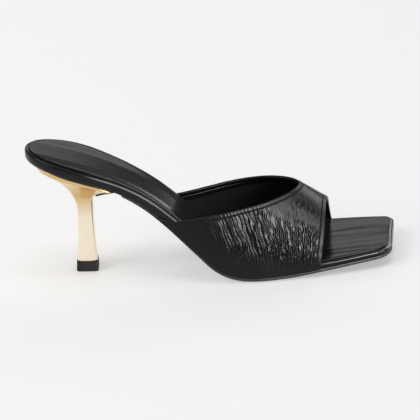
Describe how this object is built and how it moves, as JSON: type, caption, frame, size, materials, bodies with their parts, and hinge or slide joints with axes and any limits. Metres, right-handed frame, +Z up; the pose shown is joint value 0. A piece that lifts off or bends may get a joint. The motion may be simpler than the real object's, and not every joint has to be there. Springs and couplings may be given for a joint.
{
  "type": "heeled mule",
  "caption": "Backless heeled mule for the right foot, with an open square toe, a one-piece patent vamp, a wrapped insole and a slim flared gold heel.",
  "frame": {"origin": "centre of the bounding box on the floor the shoe stands on", "axes": "+X from the heel towards the toe, +Y towards the medial (inner) side, +Z up"},
  "size_m": [0.2426, 0.0805, 0.0837],
  "materials": {
    "upper_patent": "black crinkled patent leather, glossy",
    "band_patent": "black smooth patent wrap, glossy",
    "sock_satin": "dark grey satin sock",
    "outsole_black": "black, semi-matt",
    "heel_gold": "pale gold plating, polished",
    "lift_rubber": "black, matt"
  },
  "bodies": {
    "root": {"upper": "upper_patent", "insole": "band_patent", "sock_lining": "sock_satin", "outsole": "outsole_black", "heel": "heel_gold", "top_piece": "lift_rubber"}
  },
  "joints": []
}
